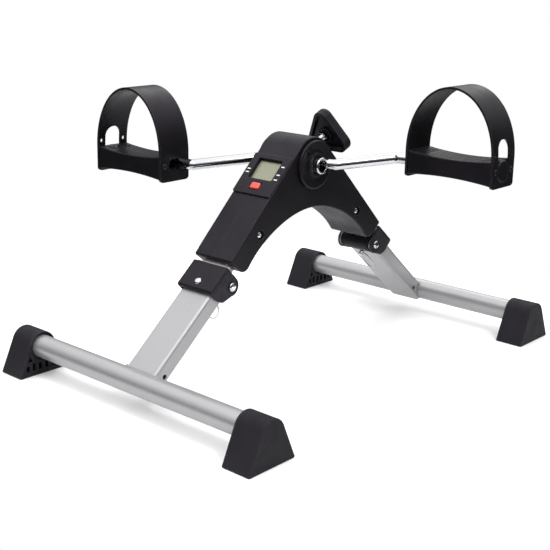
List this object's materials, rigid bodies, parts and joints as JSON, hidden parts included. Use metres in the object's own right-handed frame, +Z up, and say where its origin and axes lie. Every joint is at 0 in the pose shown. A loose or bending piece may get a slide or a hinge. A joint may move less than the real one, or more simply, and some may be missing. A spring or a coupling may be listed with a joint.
{
  "type": "pedal exerciser",
  "caption": "Folding pedal exerciser with strapped pedals on a bent crank, a plastic-clad arched body with a small display and tension knob, and two hinged legs on rubber-footed floor bars.",
  "frame": {"origin": "on the floor, under the middle of the crank axis", "axes": "+X along the crank axis to the right pedal, +Y away from the rider across the two floor bars, +Z up"},
  "size_m": [0.4264, 0.5408, 0.3157],
  "materials": {
    "body_plastic": "fine-grained black moulding with worn, lighter edges",
    "pedal_plastic": "satin black moulding",
    "foot_rubber": "matt dark grey rubber",
    "silver_paint": "silver-grey powder coat",
    "chrome": "polished chrome plate",
    "zinc": "bright zinc plate",
    "nylon": "natural nylon",
    "felt": "pressed felt",
    "screen": "grey-green liquid-crystal window",
    "red_plastic": "bright red moulding",
    "board": "green circuit board"
  },
  "bodies": {
    "frame": {"hub_tube": "zinc", "near_frame_arm": "silver_paint", "far_frame_arm": "silver_paint", "shell_left": "body_plastic", "shell_right": "body_plastic", "near_shell_bolt": "chrome", "far_shell_bolt": "chrome", "left_hub_bush": "nylon", "right_hub_bush": "nylon", "speed_sensor": "nylon", "left_hub_cover": "body_plastic", "right_hub_cover": "body_plastic", "console_housing": "body_plastic", "console_screen": "screen", "console_board": "board", "console_battery": "zinc", "near_hinge_cover": "body_plastic", "near_hinge_bolt": "chrome", "near_hinge_nut": "zinc", "near_cover_rivet": "chrome", "far_hinge_cover": "body_plastic", "far_hinge_bolt": "chrome", "far_hinge_nut": "zinc", "far_cover_rivet": "chrome"},
    "crank": {"crank_rod": "chrome", "brake_drum": "zinc", "left_crank_collar": "chrome", "right_crank_collar": "chrome", "left_spindle_washer": "zinc", "right_spindle_washer": "zinc"},
    "reset_button": {"reset_button": "red_plastic"},
    "brake_pad": {"brake_pad": "felt"},
    "tension_knob": {"tension_knob": "body_plastic", "tension_screw": "chrome"},
    "right_pedal": {"right_pedal_platform": "pedal_plastic", "right_pedal_strap": "pedal_plastic", "right_pedal_inner_bush": "pedal_plastic", "right_pedal_outer_bush": "pedal_plastic", "right_spindle_cap": "pedal_plastic"},
    "left_pedal": {"left_pedal_platform": "pedal_plastic", "left_pedal_strap": "pedal_plastic", "left_pedal_inner_bush": "pedal_plastic", "left_pedal_outer_bush": "pedal_plastic", "left_spindle_cap": "pedal_plastic"},
    "near_leg": {"near_leg_tube": "silver_paint", "near_hinge_barrel": "body_plastic", "near_floor_bar": "silver_paint", "near_right_foot": "foot_rubber", "near_left_foot": "foot_rubber", "near_lock_spring": "zinc"},
    "near_lock_pin": {"near_lock_pin": "chrome"},
    "near_pull_ring": {"near_pull_ring": "chrome"},
    "far_leg": {"far_leg_tube": "silver_paint", "far_hinge_barrel": "body_plastic", "far_floor_bar": "silver_paint", "far_right_foot": "foot_rubber", "far_left_foot": "foot_rubber", "far_lock_spring": "zinc"},
    "far_lock_pin": {"far_lock_pin": "chrome"},
    "far_pull_ring": {"far_pull_ring": "chrome"}
  },
  "joints": [
    {"name": "crank_spin", "type": "hinge", "parent": "frame", "child": "crank", "pos_m": [0, 0, 0.2248], "axis": [1, 0, 0], "continuous": true},
    {"name": "right_pedal_spin", "type": "hinge", "parent": "crank", "child": "right_pedal", "pos_m": [0.158, 0.08363, 0.2327], "axis": [1, 0, 0], "continuous": true},
    {"name": "left_pedal_spin", "type": "hinge", "parent": "crank", "child": "left_pedal", "pos_m": [-0.158, -0.08363, 0.2169], "axis": [1, 0, 0], "continuous": true},
    {"name": "near_leg_fold", "type": "hinge", "parent": "frame", "child": "near_leg", "pos_m": [0, -0.1247, 0.1115], "axis": [1, 0, 0], "range_deg": [0, 90]},
    {"name": "far_leg_fold", "type": "hinge", "parent": "frame", "child": "far_leg", "pos_m": [0, 0.1247, 0.1115], "axis": [-1, 0, 0], "range_deg": [0, 90]},
    {"name": "near_lock_pull", "type": "slide", "parent": "near_leg", "child": "near_lock_pin", "axis": [0, 0.6494, -0.7604], "range_m": [0, 0.006], "stiffness_N_per_m": 300, "springref_m": -0.004},
    {"name": "far_lock_pull", "type": "slide", "parent": "far_leg", "child": "far_lock_pin", "axis": [0, -0.6494, -0.7604], "range_m": [0, 0.006], "stiffness_N_per_m": 300, "springref_m": -0.004},
    {"name": "near_ring_swing", "type": "hinge", "parent": "near_lock_pin", "child": "near_pull_ring", "pos_m": [0, -0.13052, 0.09522], "axis": [1, 0, 0], "range_deg": [-40, 25]},
    {"name": "far_ring_swing", "type": "hinge", "parent": "far_lock_pin", "child": "far_pull_ring", "pos_m": [0, 0.13052, 0.09522], "axis": [-0.6691, 0.5651, -0.4826], "range_deg": [-14, 40]},
    {"name": "tension_travel", "type": "slide", "parent": "frame", "child": "brake_pad", "axis": [0, 0.9135, 0.4067], "range_m": [0, 0.00375]},
    {"name": "tension_knob_turn", "type": "hinge", "parent": "brake_pad", "child": "tension_knob", "pos_m": [0, 0.04951, 0.24685], "axis": [0, 0.9135, 0.4067], "range_deg": [0, 1080]},
    {"name": "reset_button_press", "type": "slide", "parent": "frame", "child": "reset_button", "axis": [0, 0.7071, -0.7071], "range_m": [0, 0.001], "stiffness_N_per_m": 400, "springref_m": -0.001}
  ],
  "couplings": [
    {"joint": "tension_travel", "follows": "tension_knob_turn", "m_per_rad": 0.00019894}
  ]
}
